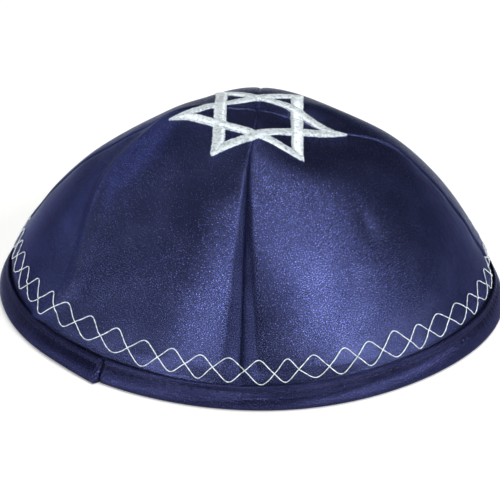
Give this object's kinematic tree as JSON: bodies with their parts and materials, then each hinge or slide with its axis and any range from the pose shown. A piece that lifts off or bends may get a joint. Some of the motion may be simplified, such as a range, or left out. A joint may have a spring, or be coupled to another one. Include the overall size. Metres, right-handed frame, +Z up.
{
  "type": "kippah skullcap",
  "caption": "Domed satin skullcap of sewn panels with a bound rim, an embroidered star on top and crossing wave threads round the edge, worn on the crown of the head.",
  "frame": {"origin": "centre of the rim, on the surface that the cap rests on", "axes": "+Z up through the top of the cap, -Y towards the front seam, +X towards the right seam seen from the front"},
  "size_m": [0.1702, 0.1699, 0.0649],
  "materials": {
    "navy_satin": "navy satin with a soft sheen",
    "binding_satin": "navy satin bias strip",
    "silver_white_thread": "silver-white embroidery thread"
  },
  "bodies": {
    "root": {"panel_front_right": "navy_satin", "panel_back_right": "navy_satin", "panel_back_left": "navy_satin", "panel_front_left": "navy_satin", "rim_binding": "binding_satin", "star_embroidery": "silver_white_thread"}
  },
  "joints": []
}
